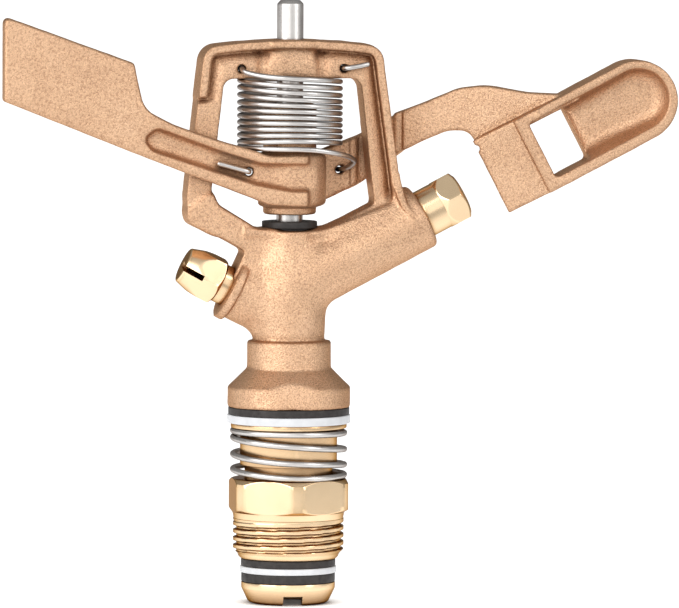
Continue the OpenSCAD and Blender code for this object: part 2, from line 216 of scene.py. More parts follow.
def unevenness(g, size, seed):
    """Smooth random values from -1 to 1 over the grid, with lumps of about size."""
    random = np.random.RandomState(seed)
    shape = [int(n * g.step / size) + 3 for n in g.shape]
    values = random.uniform(-1, 1, shape).astype(np.float32)
    for axis, n in enumerate(g.shape):
        place = np.arange(n) * g.step / size
        i = place.astype(int)
        t = (place - i).astype(np.float32)
        t = t * t * (3 - 2 * t)
        form = [1, 1, 1]
        form[axis] = n
        t = t.reshape(form)
        values = np.take(values, i, axis) * (1 - t) + np.take(values, i + 1, axis) * t
    return values


# ------------ meshes

def object_from(name, points, faces, material):
    """A new object from points in millimetres."""
    mesh = bpy.data.meshes.new(name)
    mesh.from_pydata([tuple(float(c) * MM for c in p) for p in points], [], faces)
    return finish_mesh(name, mesh, material)


def finish_mesh(name, mesh, material, smooth=True):
    """A new object from a mesh, with one material."""
    mesh.validate()
    mesh.polygons.foreach_set("use_smooth", [smooth] * len(mesh.polygons))
    mesh.materials.append(material)
    piece = bpy.data.objects.new(name, mesh)
    bpy.context.scene.collection.objects.link(piece)
    return piece


def cast(name, g, field, material, uneven, seed):
    """The surface of a field as a closed mesh with a slightly uneven, cast skin."""
    field = field + uneven * unevenness(g, 2.6, seed) + 0.5 * uneven * unevenness(g, 1.1, seed + 1)
    volume = openvdb.FloatGrid(3.0)
    volume.copyFromArray(np.clip(field, -3, 3).astype(np.float32))
    volume.transform = openvdb.createLinearTransform(g.step)
    points, _, quads = volume.convertToPolygons(0.0, 0.0)
    points = (points + np.array(g.low, np.float32)) * MM
    mesh = bpy.data.meshes.new(name)
    mesh.vertices.add(len(points))
    mesh.vertices.foreach_set("co", points.ravel())
    mesh.loops.add(4 * len(quads))
    mesh.loops.foreach_set("vertex_index", quads[:, ::-1].ravel())
    mesh.polygons.add(len(quads))
    mesh.polygons.foreach_set("loop_start", np.arange(0, 4 * len(quads), 4))
    mesh.update(calc_edges=True)
    return finish_mesh(name, mesh, material)


def brick(a, b):
    """Corners and faces of a box, for cutting with."""
    points = [(x, y, z) for x in (a[0], b[0]) for y in (a[1], b[1]) for z in (a[2], b[2])]
    faces = [(0, 1, 3, 2), (4, 6, 7, 5), (0, 4, 5, 1), (2, 3, 7, 6), (0, 2, 6, 4), (1, 5, 7, 3)]
    return points, faces


def subtract(piece, cutter):
    """Cuts one mesh out of another and drops the cutter."""
    modifier = piece.modifiers.new("cut", "BOOLEAN")
    modifier.operation, modifier.solver, modifier.object = "DIFFERENCE", "EXACT", cutter
    graph = bpy.context.evaluated_depsgraph_get()
    mesh = bpy.data.meshes.new_from_object(piece.evaluated_get(graph))
    piece.modifiers.clear()
    old, piece.data = piece.data, mesh
    bpy.data.meshes.remove(old)
    old = cutter.data
    bpy.data.objects.remove(cutter)
    bpy.data.meshes.remove(old)


# ------------ body casting

def body_field(g):
    """The body casting's outside."""
    radial = np.hypot(g.x, g.y)
    # round base, cone and waist
    base = outline(radial, g.z, rounded([
        (-1, BODY_Z, 0), (14.6, BODY_Z, 0.4), (14.6, 29.7, 0.5), (10.0, 34.2, 0.7), (10.0, 40.6, 0.35),
        (8.0, 40.9, 0), (8.0, 44, 0), (-1, 44, 0)
    ], 3))
    # a flat ground on the base's front, which leans back and turns a little to the left
    lean, turn = 0.12, 0.1
    front = (-g.y * math.cos(turn) - g.x * math.sin(turn)) - 13.9 + (g.z - BODY_Z - 2) * lean
    base = meet(base, front, 0.5)
    # stem and pillar
    stem = outline(radial, g.z, rounded([
        (-1, 38, 0), (8.4, 38, 0), (8.5, 55, 12), (7.1, 63.5, 8), (7.1, SEAT_Z, 0.4), (-1, SEAT_Z, 0)
    ], 5))
    barrel = branch(g, BARREL_Z, BARREL_TILT, 1, BARREL_L, BARREL_R, 1.1)
    boss = branch(g, SPREADER_Z, SPREADER_TILT, -1, SPREADER_L - 1, 6.9, 0.4)
    spot_ring = rod(g, SPREADER_Z, SPREADER_TILT, -1, SPREADER_L - 2.1, SPREADER_L, 7.8, 0.35)
    middle = join(stem, barrel, 2.8)
    middle = join(middle, boss, 3.0)
    middle = join(middle, yoke_leg_field(g), 2.0)
    middle = join(middle, spot_ring, 0.3)
    # the yoke runs smoothly into the barrel, and more sharply into the rest
    soft = 1.4 + 1.0 * np.clip((g.x - 4) / 4, 0, 1) * np.clip((80 - g.z) / 6, 0, 1)
    middle = join(join(middle, base, 0.45), yoke_field(g), soft)
    return join(middle, rib_field(g), 0.7)


def branch(g, height, tilt, side, end, radius, edge):
    """A round bar on a tilted axis with a domed start on the rotation axis."""
    along, across = on_axis(g, height, tilt, side)
    reach = np.sqrt(across ** 2 + g.y ** 2 + np.minimum(along, 0) ** 2)
    return thick(reach - radius, along, -20, end, edge)


def rib_field(g):
    """The yoke's rim running down onto the range barrel as a fin."""
    flat = outline(g.x, g.z, rounded([
        (24.3, 80.5, 0), (25.6, 80.5, 0), (27.2, 73.5, 4), (29.2, 70.0, 0.5), (28.8, 69.3, 0.4),
        (25.6, 73.0, 3), (24.0, 78, 0)
    ]))
    front = -YOKE_Y - 3.1 * np.clip((79 - g.z) / 8, 0, 1)
    return np.maximum(np.maximum(flat, front - g.y), g.y)


def yoke_leg_field(g):
    """The diagonal that carries the left leg, with the face that the spreader sits against."""
    flat = outline(g.x, g.z, rounded([
        (-25.4, 71.8, 1.5), (-24.2, 69.6, 1.5), (-11.4, 62.2, 0.9), (-14.4, 55.6, 1), (-4, 50, 0),
        (2, 60, 0), (-4, 66.6, 0.5), (-7.2, 66.4, 1.0), (-17.6, 73.0, 1.8), (-19.2, 76.4, 1)
    ]))
    return thick(flat, g.y, -WEB_Y - 0.5, YOKE_Y, 0.4)


def yoke_outline():
    """The yoke's outer edge."""
    return rounded([
        (YOKE_TOP_W + 0.2, 110.9, 4.2), (13, YOKE_TOP - 0.5, 8), (0, YOKE_TOP + 0.25, 30),
        (-13, YOKE_TOP - 0.5, 8), (-YOKE_TOP_W - 0.2, 110.9, 4.2), (-YOKE_LOW_W, 75.5, 2), (-25.0, 69, 2),
        (-19, 66, 0), (6, 64.6, 0), (26.9, 71.6, 0), (YOKE_LOW_W + 0.6, 77.5, 6)
    ])


def yoke_window():
    """The opening that the arm's hub and its spring stand in."""
    return rounded([
        (-19.4, 76.5, 1.5), (-18.8, 73.6, 2.2), (-7.6, 66.9, 0.6), (-6.8, 67.3, 0.3), (6.8, 67.3, 0.3),
        (7.6, 66.9, 0.6), (19.9, 73.1, 0.8), (19.2, 78, 2), (16.4, BAR_Z + 0.3, 2.6),
        (-16.4, BAR_Z + 0.3, 2.6)
    ])


def yoke_field(g):
    """The yoke round the arm's hub."""
    outer = outline(g.x, g.z, yoke_outline())
    window = outline(g.x, g.z, yoke_window())
    ring = np.maximum(outer, -window)
    # the web dips towards the rim on its front, as cast
    rimmed = np.clip((g.z - 97) / 2, 0, 1) + np.clip(g.x - 2, 0, 1) * np.clip((g.z - 70) / 6, 0, 1)
    dip = np.clip((outer + 6.3) / 4.4, 0, 1) ** 1.3 * 2.1 * np.clip(rimmed, 0, 1)
    dip = dip + 1.3 * np.exp(-((np.abs(g.x) - 7.2) / 1.6) ** 2) * np.clip((g.z - 100) / 2, 0, 1)
    web = thick(ring, g.y, -WEB_Y, WEB_Y, 0.4)
    web = np.maximum(web, -g.y - WEB_Y - 0.3 + dip)
    # the raised rim: on the left leg only its top, on the right leg down to the barrel
    rim = np.maximum(outer, -outer - 2.1)
    rim = np.maximum(rim, 98.7 - g.z - 100 * np.clip(g.x + 12, 0, 1))
    rim = np.maximum(rim, 66 - g.z)
    rim = thick(rim, g.y, -YOKE_Y, YOKE_Y, 0.4)
    # the boss that holds the fulcrum pin, and the crown above it
    spine = upright(g, BAR_Z + 0.6, YOKE_TOP - 1.0, 6.1, 0.8)
    spine = meet(spine, -g.y - YOKE_Y + 0.5, 1.6)
    crown = np.maximum(upright(g, YOKE_TOP - 1.8, YOKE_TOP - 0.15, 7.4, 0.5), outer)
    crown = np.maximum(crown, -g.y - YOKE_Y - 0.5)
    shape = join(web, rim, 0.6)
    shape = join(shape, spine, 1.2)
    return join(shape, crown, 0.5)


def body_bores(g, shape):
    """The body with its bores, and the two holes for the arm spring."""
    radial = np.hypot(g.x, g.y)
    shape = cut(shape, upright(g, BODY_Z - 5, 36, TUBE_R + 0.05), 0.3)
    shape = cut(shape, upright(g, 30, 56, 6.4), 0.3)
    shape = cut(shape, rod(g, BARREL_Z, BARREL_TILT, 1, -1, 16, 4.7), 0.3)
    shape = cut(shape, rod(g, BARREL_Z, BARREL_TILT, 1, 14, BARREL_L + 4, 5.5), 0.5)
    shape = cut(shape, rod(g, SPREADER_Z, SPREADER_TILT, -1, 0, SPREADER_L + 4, 4.25), 0.4)
    shape = cut(shape, thick(radial - PIN_R - 0.1, g.z, 62.2, 140, 0.1), 0.3)
    for side in (-1, 1):
        hole = np.hypot(g.x - side * ANCHOR_X, g.z - ANCHOR_Z) - SPRING_HOLE_R
        shape = cut(shape, hole, 0.4)
    return shape


def make_body(material):
    corner_low = (low("body_casting", 0) - 1, low("body_casting", 1) - 1, BODY_Z - 1)
    corner_high = (high("body_casting", 0) + 1, high("body_casting", 1) + 1, YOKE_TOP + 1)
    g = Grid(corner_low, corner_high, BODY_STEP)
    piece = cast("body_casting_cast", g, body_bores(g, body_field(g)), material, 0.045, 11)
    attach(piece, "head")
    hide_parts("body_casting")


# ------------ arm casting

def blade_field(g):
    """The blade, the pocket that is cut into it, and the distance from the pin's axis."""
    flat = outline(g.x, g.z, rounded([
        (-69.9, 98.3, 0.8), (-40.5, 86.6, 0), (-27.8, 81.7, 0), (-13.3, 76.2, 8), (-6, 73.3, 6), (3, 73.1, 0),
        (3, DRUM_HIGH, 0), (-6.5, DRUM_HIGH, 6), (-19.2, 89.1, 0), (-29.5, 92.7, 8), (-36.4, 96.3, 6),
        (-38.2, 104.0, 4), (-38.8, 107.2, 1.2), (-69.9, 118.4, 1.2)
    ]))
    plate = thick(flat, g.y, BLADE_FRONT, BLADE_BACK, 0.85)
    # the plate wraps round the hub's front
    hub = np.hypot(g.x, g.y)
    wrap = thick(hub - 8.7, g.z, DRUM_LOW, DRUM_HIGH, 1.2)
    wrap = np.maximum(wrap, g.y + 2)
    plate = join(plate, np.maximum(wrap, -(g.x + 8)), 1.5)
    # the long pocket between the two ribs, whose sides slope; it stops short of the solid hub
    pocket = outline(g.x, g.z, rounded([
        (-36.9, 89.3, 2.6), (-34.6, 86.4, 2.4), (-19.3, 81.3, 0), (-9.4, 78.2, 6), (-1, 76.6, 6),
        (12, 76.6, 0), (12, 83.3, 0), (-1, 83.3, 6), (-8.4, 83.5, 6), (-19.3, 86.9, 0), (-33.4, 92.1, 2.4)
    ]))
    solid = join(hub - 7.5, (BLADE_FRONT + 2.7) - g.y, 2.2)
    pocket = meet(pocket + 0.25 * (g.y - BLADE_FRONT), -solid, 1.6)
    return plate, pocket, hub


def spoon_arm_field(g):
    """The slab behind the right leg, and its bent end that carries the spoon."""
    near = outline(g.x, g.z, rounded([
        (2, 73.4, 0), (8.6, 73.2, 1), (18.5, 77.9, 8), (CREASE_X + 1.4, 85.2, 0), (CREASE_X + 1.4, 94.7, 0),
        (17.6, 89.1, 0), (9, 85.9, 4), (2, DRUM_HIGH, 0)
    ]))
    slab = thick(near, g.y, SPOON_ARM_FRONT + 0.5, SPOON_ARM_BACK, 0.6)
    bead = np.maximum(near + 0.3, np.abs(g.x - 16.4) - 0.8)
    bead = thick(bead, g.y, SPOON_ARM_FRONT, SPOON_ARM_BACK - 1, 0.35)
    slab = join(slab, bead, 0.8)
    # u runs along the bent end and v through it
    middle = 7.4
    u = (g.x - CREASE_X) * math.cos(CREASE) - (g.y - middle) * math.sin(CREASE)
    v = (g.x - CREASE_X) * math.sin(CREASE) + (g.y - middle) * math.cos(CREASE)
    far = rounded([
        (-0.6, 84.3, 0.6), (6.5, 87.8, 12), (12.5, 90.4, 8), (17.3, 90.4, 3.5), (19.4, 87.2, 0),
        (25, 88.2, 0), (44, 98.0, 0), (43.5, 99.8, 0), (40, 99.3, 4), (31.5, 99.6, 12), (21.5, 101.3, 12),
        (15, 100.6, 12), (7.5, 97.4, 16), (-0.6, 94.3, 0.6)
    ])
    # the outline is read once on a fine table of u and height, and looked up from there
    table_step = 0.25
    us = np.arange(-8, 52, table_step, dtype=np.float32)
    table = outline(us[:, None], g.z[0], far)
    place = np.clip((u - us[0]) / table_step, 0, len(us) - 1.001)
    i = place.astype(int)[:, :, 0]
    t = place - place.astype(int)
    bent = table[i] * (1 - t) + table[i + 1] * t
    arm = join(slab, thick(bent, v, -2.1, 2.2, 0.6), 0.5)
    groove = thick(np.abs(u - 1.3) - 0.28, v, -4, -1.65, 0.1)
    return cut(arm, groove, 0.4)


SPOON_EDGE = 55.0               # leading edge, along the jet from the rotation axis
SPOON_ROUND = 94.35             # centre of the round end
SPOON_MID = 0.4                 # middle of the spoon above the jet's axis
SPOON_W = 9.75                  # half width
SPOON_FRONT, SPOON_BACK = -4.6, 2.9
WEDGE = 10.4                    # length of the wedge behind the leading edge
WINDOW = (68.4, 78.1)           # start and end of the opening, along the jet
BOWL_MID = 0.65                 # middle of the bowl above the jet's axis
BOWL_W = 7.35                   # half width of the bowl and the window


def spoon_field(g):
    """The spoon: wedge, opening and bowl, laid out along the jet."""
    along, across = on_axis(g, BARREL_Z, BARREL_TILT)
    stadium = np.hypot(np.maximum(along - SPOON_ROUND, 0), across - SPOON_MID) - SPOON_W
    stadium = np.maximum(stadium, SPOON_EDGE - along)
    block = thick(stadium, g.y, SPOON_FRONT, SPOON_BACK, 0.6)
    # the wedge: thin where the jet meets it, and a little below the strip's face where it ends
    share = np.clip((along - SPOON_EDGE) / WEDGE, -0.2, 1.6)
    front = -1.15 - 2.55 * share
    back = -0.15 + 2.8 * share
    wedge = meet(np.maximum(front - g.y, g.y - back), stadium, 0.5)
    nick = np.hypot(along - SPOON_EDGE, across - SPOON_MID - SPOON_W + 2.2) - 0.8
    wedge = cut(wedge, nick, 0.3)
    body = meet(block, SPOON_EDGE + WEDGE - along, 0.35)
    shape = join(body, wedge, 0.1)
    middle, half = (WINDOW[0] + WINDOW[1]) / 2, (WINDOW[1] - WINDOW[0]) / 2
    corner_r = 1.1
    window = np.hypot(np.maximum(np.abs(along - middle) - half + corner_r, 0),
                      np.maximum(np.abs(across - BOWL_MID) - BOWL_W + corner_r, 0)) - corner_r
    # the bowl gets shallower towards the round end
    bowl = np.hypot(np.maximum(along - SPOON_ROUND - 0.3, 0), across - BOWL_MID) - BOWL_W
    bowl = np.maximum(bowl, WINDOW[1] - 1.5 - along)
    run = np.clip((along - WINDOW[1]) / (SPOON_ROUND + 7 - WINDOW[1]), 0, 1)
    floor = 1.6 - 3.2 * run * run
    bowl = meet(bowl + 0.32 * (g.y - SPOON_FRONT), g.y - floor, 2.6)
    shape = cut(shape, bowl, 0.3)
    return cut(shape, window, 0.25)


def make_arm(material):
    corner_low = (low("arm_casting", 0) - 1, low("arm_casting", 1) - 1, ARM_Z - 1)
    corner_high = [high("arm_casting", i) + 1 for i in range(3)]
    g = Grid(corner_low, corner_high, ARM_STEP)
    blade, pocket, hub = blade_field(g)
    boss = thick(hub - 6.2, g.z, ARM_Z, 97.0, 0.6)
    drum = thick(hub - 7.4, g.z, DRUM_LOW, DRUM_HIGH, 0.6)
    core = join(join(blade, drum, 1.2), boss, 0.5)
    arm = join(core, spoon_arm_field(g), 3.0)
    arm = cut(arm, pocket, 0.6)
    arm = join(arm, join(boss, drum, 0.5), 0.5)
    arm = join(arm, spoon_field(g), 0.3)
    arm = cut(arm, thick(hub - PIN_R - 1.1, g.z, 60, 110, 0.1), 0.3)
    for x, z in ARM_HOLES:
        hole = np.hypot(g.x - x, g.z - z) - SPRING_HOLE_R
        arm = cut(arm, hole, 0.4)
    piece = cast("arm_casting_cast", g, arm, material, 0.04, 21)
    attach(piece, "arm")
    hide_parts("arm_casting")


# ------------ turned and hexagonal parts

def hexagon(angle, across_flats, turn=0.0):
    """Distance from the centre to a hexagon's edge at an angle."""
    return across_flats / 2 / math.cos((angle - turn) % (math.pi / 3) - math.pi / 6)


def soft_min(a, b, k):
    """The smaller of two numbers, eased over about k where they are close."""
    h = max(k - abs(a - b), 0) / k
    return min(a, b) - h * h * k / 4


def turned(name, rows, material, axis=None, columns=96, turn=0.0):
    """A closed part turned about an axis. rows are (s, radius) or (s, radius, across flats, blend),
    from one end round the outside, and back through the bore. radius may be a function of the angle."""
    points, faces = [], []
    angles = [turn + 2 * math.pi * k / columns for k in range(columns)]
    to_row = axis or Matrix.Identity(4)
    rings = []
    for row in rows:
        s, radius = row[0], row[1]
        if radius == 0:
            rings.append([len(points)])
            points.append(to_row @ Vector((0, 0, s)))
            continue
        ring = []
        for angle in angles:
            r = radius(angle) if callable(radius) else radius
            if len(row) > 2:
                r = soft_min(r, hexagon(angle, row[2], turn), row[3])
            ring.append(len(points))
            points.append(to_row @ Vector((r * math.cos(angle), r * math.sin(angle), s)))
        rings.append(ring)
    pairs = list(zip(rings, rings[1:]))
    if len(rings[0]) > 1:
        pairs.append((rings[-1], rings[0]))
    for a, b in pairs:
        for k in range(columns):
            n = (k + 1) % columns
            if len(a) == 1:
                faces.append((a[0], b[n], b[k]))
            elif len(b) == 1:
                faces.append((a[k], a[n], b[0]))
            else:
                faces.append((a[k], a[n], b[n], b[k]))
    return object_from(name, points, faces, material)


def corner(s, r, ds0, dr0, ds1, dr1, steps=4):
    """Rows of a rounded corner at (s, r), from (ds0, dr0) to (ds1, dr1) beside it."""
    rows = []
    for k in range(steps + 1):
        t = k / steps
        a, b = (1 - t) ** 2, t ** 2
        rows.append((s + a * ds0 + b * ds1, r + a * dr0 + b * dr1))
    return rows


def rounded_rows(profile, radius, steps=3):
    """A turned profile with every corner rounded."""
    rows = []
    n = len(profile)
    for i, (s, r) in enumerate(profile):
        s0, r0 = profile[i - 1]
        s1, r1 = profile[(i + 1) % n]
        d0, d1 = math.hypot(s0 - s, r0 - r), math.hypot(s1 - s, r1 - r)
        e0, e1 = min(radius, d0 / 3) / d0, min(radius, d1 / 3) / d1
        rows += corner(s, r, (s0 - s) * e0, (r0 - r) * e0, (s1 - s) * e1, (r1 - r) * e1, steps)
    return rows


def washer(node, body, material, outer, inner):
    """A washer that fills its CAD node but for a hair, with soft edges."""
    z0, z1 = low(node) + 0.01, high(node) - 0.01
    rows = rounded_rows([(z0, inner), (z0, outer), (z1, outer), (z1, inner)], 0.28, 4)
    piece = turned(node + "_ring", rows, material)
    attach(piece, body)
    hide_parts(node)


def tilted(height, tilt, side):
    """The frame of a tilted axis: local Z runs along it, away from the rotation axis."""
    return Matrix.Translation((0, 0, height)) @ Matrix.Rotation(side * (math.pi / 2 - tilt), 4, "Y")


def weighted(piece, angle):
    """Shades edges sharper than an angle in degrees as edges, and the rest as round."""
    mesh = piece.data
    work = bmesh.new()
    work.from_mesh(mesh)
    limit = math.radians(angle)
    for edge in work.edges:
        edge.smooth = len(edge.link_faces) == 2 and edge.calc_face_angle(0) < limit
    work.to_mesh(mesh)
    work.free()
    return piece


# ------------ inlet nipple

THREAD_R = 13.22
THREAD_PITCH = 25.4 / 14        # 14 threads per inch
THREAD_DEPTH = 0.78
THREAD_START = -1.9             # the hexagon's shank ends here
THREAD_END = -10.1
THREAD_PHASE = 1.12             # how far the first crest lies below the hexagon
HEX_AF = 27.0
HEX_TURN = math.radians(29.3)
HEX_TURNED_R = 14.85            # the hexagon's corners are turned down to this radius
HEX_TOP = 7.8
NECK_R = 10.5
NIPPLE_BORE_R = 8.26


def ease(value, start, end):
    """0 before start, 1 after end, and a smooth rise between."""
    t = min(max((value - start) / (end - start), 0), 1)
    return t * t * (3 - 2 * t)


def thread_rows(z_start, z_end, spacing=0.12):
    """Rows of a right-handed helical thread with flat crests, which runs out at both ends."""
    root = THREAD_R - THREAD_DEPTH
    rows = []
    count = int((z_start - z_end) / spacing)
    for i in range(count + 1):
        z = z_start - i * spacing

        def radius(angle, z=z):
            phase = ((z + THREAD_PHASE) / THREAD_PITCH - angle / (2 * math.pi)) % 1.0
            form = ease(1 - abs(2 * phase - 1), 0.18, 0.62)
            form = 1 - (1 - form) * ease(z_start - z, 0.1, 1.6)
            lead = max(0, z_end + 1.1 - z) * 0.95
            return max(min(root + THREAD_DEPTH * form, THREAD_R - lead), root - lead * 0.5)

        rows.append((z, radius))
    return rows


def make_nipple(material):
    # the neck, down to the hexagon
    rows = [(NECK_TOP, NIPPLE_BORE_R + 0.3), (NECK_TOP, NECK_R - 0.4), (NECK_TOP - 0.4, NECK_R)]
    rows += [(HEX_TOP + 0.25, NECK_R), (HEX_TOP, NECK_R + 0.25), (HEX_TOP, 13.6, HEX_AF, 0.15)]
    # the hexagon, with its corners turned off above and below
    face_r = 13.75
    rise = HEX_TURNED_R - face_r
    rows += [(HEX_TOP - 0.08 - 0.85 * k / 12, face_r + rise * k / 12, HEX_AF, 0.15) for k in range(13)]
    rows += [(HEX_TOP - 0.93 - 6.27 * k / 6, HEX_TURNED_R, HEX_AF, 0.15) for k in range(1, 7)]
    rows += [(0.6 - 0.75 * k / 12, HEX_TURNED_R - 1.37 * k / 12, HEX_AF, 0.2) for k in range(1, 13)]
    # the thread, the foot and the bore
    rows += [(-0.5, THREAD_R + 0.12), (-1.1, THREAD_R - 0.02), (-1.6, THREAD_R - 0.1)]
    rows += thread_rows(THREAD_START + 0.2, THREAD_END)
    foot_r = THREAD_R - 1.6
    rows += [(THREAD_END - 0.6, foot_r + 0.35), (NIPPLE_FOOT + 0.15, foot_r), (NIPPLE_FOOT, foot_r - 0.25)]
    rows += [(NIPPLE_FOOT, NIPPLE_BORE_R + 0.3), (NIPPLE_FOOT + 0.3, NIPPLE_BORE_R)]
    rows += [(NECK_TOP - 0.3, NIPPLE_BORE_R)]
    piece = turned("bearing_nipple_turned", rows, material, columns=180, turn=HEX_TURN)
    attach(weighted(piece, 32), "inlet")
    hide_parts("bearing_nipple")


# ------------ bearing tube, collar and washers

def make_tube(material):
    foot = low("bearing_tube")
    flange = high("flange_rubber_washer", 0)
    flange_low, flange_top, tube_top = -18.3, -16.87, 36
    profile = [
        (foot, TUBE_BORE_R), (foot, flange - 2.3), (foot + 0.55, flange - 1.5), (flange_low, flange),
        (flange_top, flange), (flange_top, TUBE_R), (tube_top, TUBE_R), (tube_top, TUBE_BORE_R)
    ]
    piece = turned("bearing_tube_turned", rounded_rows(profile, 0.18), material, columns=128)
    points, faces = brick((-2.3, -20, foot - 1), (2.3, 0, foot + 2.3))
    turn = Matrix.Rotation(math.radians(-3), 4, "Z")
    cutter = object_from("cutter", [turn @ Vector(p) for p in points], faces, material)
    subtract(piece, cutter)
    weighted(piece, 30)
    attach(piece, "head")
    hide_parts("bearing_tube")


def make_collar(material):
    top, skirt = high("spring_collar"), low("spring_collar")
    outer = high("spring_collar", 0)
    under = top - COLLAR_T
    profile = [
        (top, TUBE_R + 0.1), (top, outer), (under, outer), (under, NECK_R + 1.1), (skirt, NECK_R + 1.1),
        (skirt, NECK_R + 0.1), (under, NECK_R + 0.1), (under, TUBE_R + 0.1)
    ]
    piece = weighted(turned("spring_collar_turned", rounded_rows(profile, 0.2), material, columns=128), 30)
    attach(piece, "thrust_collar")
    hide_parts("spring_collar")


# ------------ springs

def bent_wire(name, path, radius, material, sides):
    """A round wire along a smooth path, with domed ends."""
    path = [Vector(p) for p in path]
    count = len(path)
    tangents = [(path[min(i + 1, count - 1)] - path[max(i - 1, 0)]).normalized() for i in range(count)]
    normal = tangents[0].orthogonal().normalized()
    stations = []
    for i in range(count):
        normal = (normal - tangents[i] * normal.dot(tangents[i])).normalized()
        stations.append((path[i], tangents[i], normal.copy(), radius))
    first, last = stations[0], stations[-1]
    for reach, share in ((0.5, 0.87), (0.85, 0.53)):
        stations.insert(0, (first[0] - first[1] * radius * reach, first[1], first[2], radius * share))
        stations.append((last[0] + last[1] * radius * reach, last[1], last[2], radius * share))
    points, faces = [], []
    for centre, tangent, n, r in stations:
        b = tangent.cross(n)
        for k in range(sides):
            a = 2 * math.pi * k / sides
            points.append(centre + (n * math.cos(a) + b * math.sin(a)) * r)
    for i in range(len(stations) - 1):
        for k in range(sides):
            m = (k + 1) % sides
            faces.append((i * sides + k, i * sides + m, (i + 1) * sides + m, (i + 1) * sides + k))
    faces.append(tuple(range(sides))[::-1])
    faces.append(tuple((len(stations) - 1) * sides + k for k in range(sides)))
    return object_from(name, points, faces, material)


def smooth(values, steps):
    """A smooth run through values or points, with steps from each to the next; the last one is left out."""
    run = []
    for i in range(len(values) - 1):
        a, b, c, d = (values[min(max(i + j, 0), len(values) - 1)] for j in (-1, 0, 1, 2))
        for k in range(steps):
            t = k / steps
            run.append(0.5 * (2 * b + (c - a) * t + (2 * a - 5 * b + 4 * c - d) * t * t
                              + (3 * b - a - 3 * c + d) * t ** 3))
    return run


def round_at(radius, angle, z):
    """A point at an angle round the rotation axis."""
    return Vector((radius * math.cos(angle), radius * math.sin(angle), z))


def make_bearing_spring(material):
    wire = 0.75
    bottom, top = HEX_TOP + wire, high("spring_collar") - COLLAR_T - wire
    # wire height at angles round the axis, from the top coil to the bottom one; it leans a little
    knots = [(100, top), (180, top), (270, top - 0.1), (360, top - 0.55), (540, 17.5), (720, 14.65),
             (900, 13.5), (990, 12.1), (1080, 11.0), (1260, 9.9), (1350, bottom + 0.02),
             (1440, bottom + 0.15), (1560, bottom)]
    radius = high("bearing_spring", 0) - wire - 0.03
    path = []
    for (a0, z0), (a1, z1) in zip(knots, knots[1:]):
        steps = int((a1 - a0) / 7.5)
        for k in range(steps + (a1 == knots[-1][0])):
            t = k / steps
            share = 0.7 * t + 0.3 * ease(t, 0, 1)
            path.append(round_at(radius, math.radians(a0 + (a1 - a0) * t), z0 + (z1 - z0) * share))
    piece = bent_wire("bearing_spring_wire", path, wire, material, 16)
    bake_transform(piece)
    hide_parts("bearing_spring")


def make_arm_spring(material):
    wire = 0.62
    radius = 12.0
    bottom, top = 86.7, 103.4
    front = -YOKE_Y - 0.75
    (left_x, left_z), (right_x, right_z) = ARM_HOLES
    # wire height at the front, right, back and left of each coil, from the top; the coils lean a little
    heights = [
        103.4, 102.3, 102.4, 102.6,
        101.7, 100.7, 100.8, 101.0,
        100.1, 99.0, 99.1, 99.2,
        98.5, 97.5, 97.4, 97.4,
        97.1, 96.1, 95.9, 95.8,
        95.7, 94.7, 94.4, 94.2,
        94.3, 93.2, 92.9, 92.7,
        92.9, 91.9, 91.5, 91.2,
        91.5, 90.5, 90.0, 89.6,
        90.1, 89.1, 88.5, 88.0,
        88.7, 87.7, 87.2, 86.9,
        86.8
    ]
    steps = 10
    coil = [
        round_at(radius, math.radians(270 + 90 * i / steps), z) for i, z in enumerate(smooth(heights, steps))
    ]
    # the end that goes through the top bar, and the end that goes through the arm
    upper = [
        (17.8, -4.9, 106.6), (15.8, -5.3, 106.2), (ANCHOR_X + 1.0, front + 0.3, ANCHOR_Z + 0.2),
        (ANCHOR_X, -4.0, ANCHOR_Z), (ANCHOR_X, 0, ANCHOR_Z), (ANCHOR_X, 4.6, ANCHOR_Z), (10.6, 6.2, ANCHOR_Z),
        (5, 7.3, ANCHOR_Z), (-5, 7.3, ANCHOR_Z), (-10.6, 6.2, ANCHOR_Z), (-ANCHOR_X, 4.6, ANCHOR_Z),
        (-ANCHOR_X, 0, ANCHOR_Z), (-ANCHOR_X, -4.0, ANCHOR_Z), (-ANCHOR_X + 0.1, -5.6, ANCHOR_Z - 0.4),
        (-11.2, -7.0, 104.7), (-8.4, -9.2, 104.1), (-4.2, -11.3, 103.7), coil[0]
    ]
    lower = [
        (0, -radius, bottom + 0.1), (4.5, -11.6, 86.5), (9.5, -9.6, 85.7), (13.4, -5.2, 84.6),
        (15.3, -1.4, 83.5), (15.2, 1.8, 82.3), (right_x + 1.0, 4.4, right_z + 0.4),
        (right_x, 7.5, right_z), (12.6, 10.2, right_z), (6, 10.5, left_z), (0, 10.1, left_z),
        (-6, 8.3, left_z), (-10.2, 3.5, left_z), (left_x, -2.5, left_z), (left_x, -5.5, left_z),
        (left_x - 0.2, -7.3, left_z), (left_x - 1.2, -8.0, left_z + 0.3), (-15, -8.0, left_z + 1.1),
        (-18.3, -8.0, left_z + 2.0)
    ]
    upper, lower = [Vector(p) for p in upper], [Vector(p) for p in lower]
    path = smooth(upper, 8) + coil + smooth(lower, 8) + lower[-1:]
    piece = bent_wire("arm_spring_wire", path, wire, material, 14)
    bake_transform(piece)
    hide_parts("arm_spring")


# ------------ nozzles, pin and bushings

